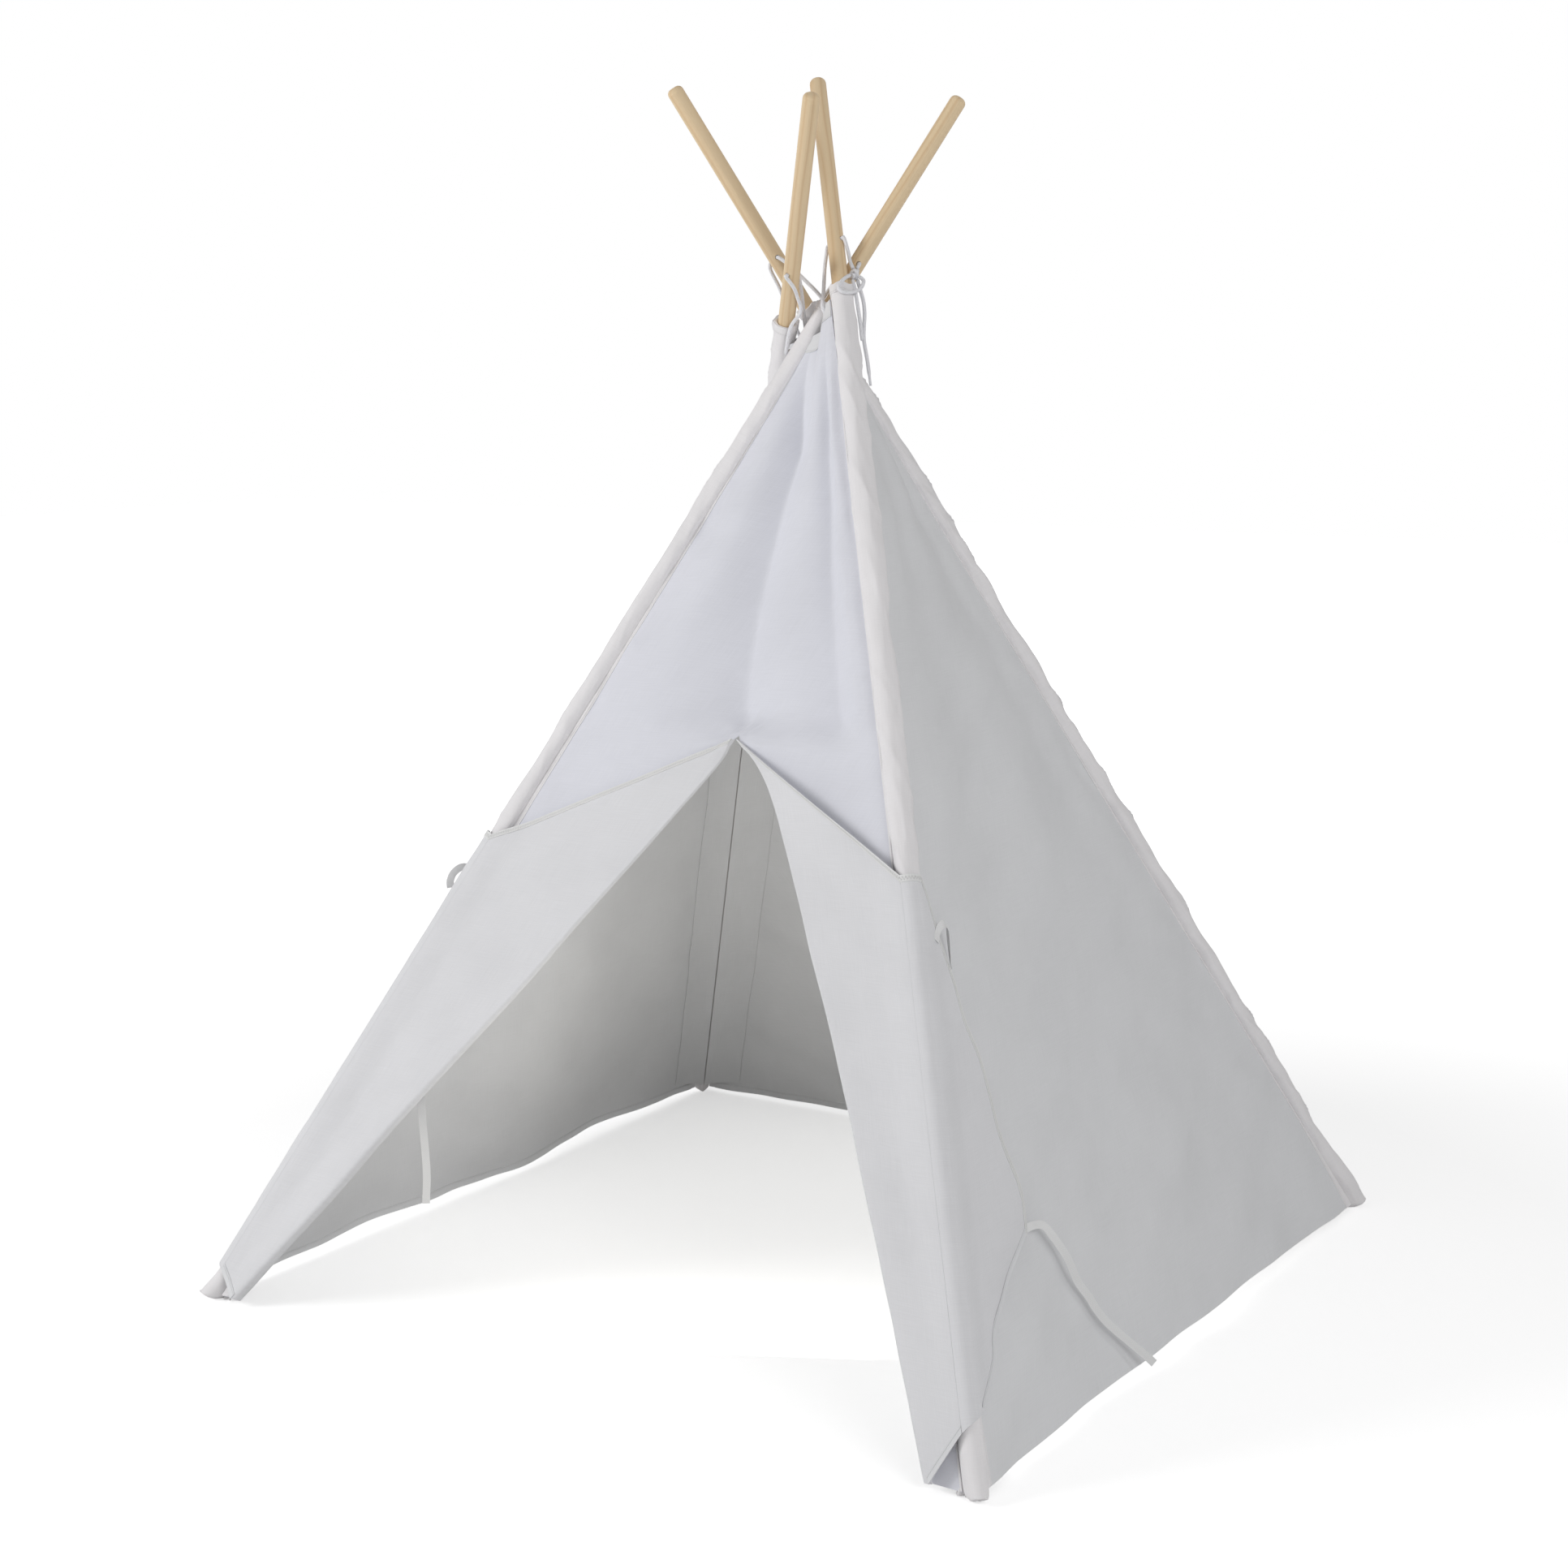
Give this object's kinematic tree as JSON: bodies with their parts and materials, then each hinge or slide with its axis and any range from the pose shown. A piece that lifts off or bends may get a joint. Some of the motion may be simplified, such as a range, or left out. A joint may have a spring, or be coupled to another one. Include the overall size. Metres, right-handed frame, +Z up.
{
  "type": "kids teepee",
  "caption": "Kids teepee with round wooden poles crossed at the top, a white canvas cover in sleeves, a laced crown and a front door whose flaps are folded back.",
  "frame": {"origin": "on the floor, midway between the four feet", "axes": "+Z up, the door faces -Y, +X to the viewer's right when facing the door"},
  "size_m": [1.215, 1.241, 1.6012],
  "materials": {
    "pine": "bare sanded pine with rounded tips",
    "canvas": "white cotton canvas, plain weave",
    "cord": "white braided cotton cord",
    "eyelet": "dark antique metal eyelet",
    "tape": "white cotton tape"
  },
  "bodies": {
    "frame_front_left": {"pole_front_left": "pine", "sleeve_front_left": "canvas", "front_panel": "canvas", "lacing_cord": "cord", "knot": "cord", "bow_loop": "cord", "cord_tail_short": "cord", "cord_tail_long": "cord", "tie_inner_left": "tape"},
    "frame_front_right": {"pole_front_right": "pine", "sleeve_front_right": "canvas"},
    "frame_rear_left": {"pole_rear_left": "pine", "sleeve_rear_left": "canvas", "back_panel": "canvas", "eyelet_back": "eyelet", "left_panel": "canvas", "eyelet_left": "eyelet"},
    "frame_rear_right": {"pole_rear_right": "pine", "sleeve_rear_right": "canvas", "right_panel": "canvas", "eyelet_right": "eyelet"},
    "flap_left": {"door_left_front": "canvas"},
    "flap_left_side": {"door_left_side": "canvas", "tie_left_upper": "tape"},
    "flap_right": {"door_right_front": "canvas"},
    "flap_right_side": {"door_right_side": "canvas", "tie_right_upper": "tape", "tie_right_lower": "tape"}
  },
  "joints": [
    {"name": "fold", "type": "hinge", "parent": "frame_front_left", "child": "frame_front_right", "pos_m": [0.05082, -0.00922, 1.34486], "axis": [-0.0043, 0.913, -0.4079], "range_deg": [0, 40], "deforming": ["front_panel", "right_panel", "left_panel", "back_panel", "lacing_cord", "knot", "bow_loop", "cord_tail_short", "cord_tail_long", "door_left_front", "door_left_side", "tie_left_upper", "door_right_front", "door_right_side", "tie_right_upper", "tie_right_lower", "tie_inner_left"]},
    {"name": "fold_rear_left", "type": "hinge", "parent": "frame_front_left", "child": "frame_rear_left", "pos_m": [-0.02426, -0.01938, 1.27104], "axis": [-0.9094, 0.0159, 0.4156], "range_deg": [0, 40]},
    {"name": "fold_rear_right", "type": "hinge", "parent": "frame_rear_left", "child": "frame_rear_right", "pos_m": [-0.01843, 0.02035, 1.29817], "axis": [0.0553, 0.9061, 0.4195], "range_deg": [0, 40]},
    {"name": "door_left", "type": "hinge", "parent": "frame_front_left", "child": "flap_left", "pos_m": [-0.52599, -0.58627, 0.00713], "axis": [-0.5768, -0.3227, -0.7504], "range_deg": [-176, 0], "deforming": ["door_left_front", "door_left_side", "tie_left_upper"]},
    {"name": "door_left_bend", "type": "hinge", "parent": "flap_left", "child": "flap_left_side", "pos_m": [-0.55466, -0.58503, 0.03944], "axis": [-0.3904, -0.3771, -0.8399], "range_deg": [-78, 0]},
    {"name": "door_right", "type": "hinge", "parent": "frame_front_right", "child": "flap_right", "pos_m": [0.53196, -0.60875, 0.00722], "axis": [-0.4989, 0.3621, 0.7874], "range_deg": [-176, 0], "deforming": ["door_right_front", "door_right_side", "tie_right_upper", "tie_right_lower"]},
    {"name": "door_right_bend", "type": "hinge", "parent": "flap_right", "child": "flap_right_side", "pos_m": [0.56162, -0.59127, 0.081], "axis": [-0.3449, 0.3815, 0.8576], "range_deg": [-82, 0]}
  ],
  "couplings": [
    {"joint": "fold_rear_left", "follows": "fold", "ratio": 1},
    {"joint": "fold_rear_right", "follows": "fold", "ratio": 1},
    {"joint": "door_left_bend", "follows": "door_left", "ratio": 0.4431},
    {"joint": "door_right_bend", "follows": "door_right", "ratio": 0.4658}
  ]
}
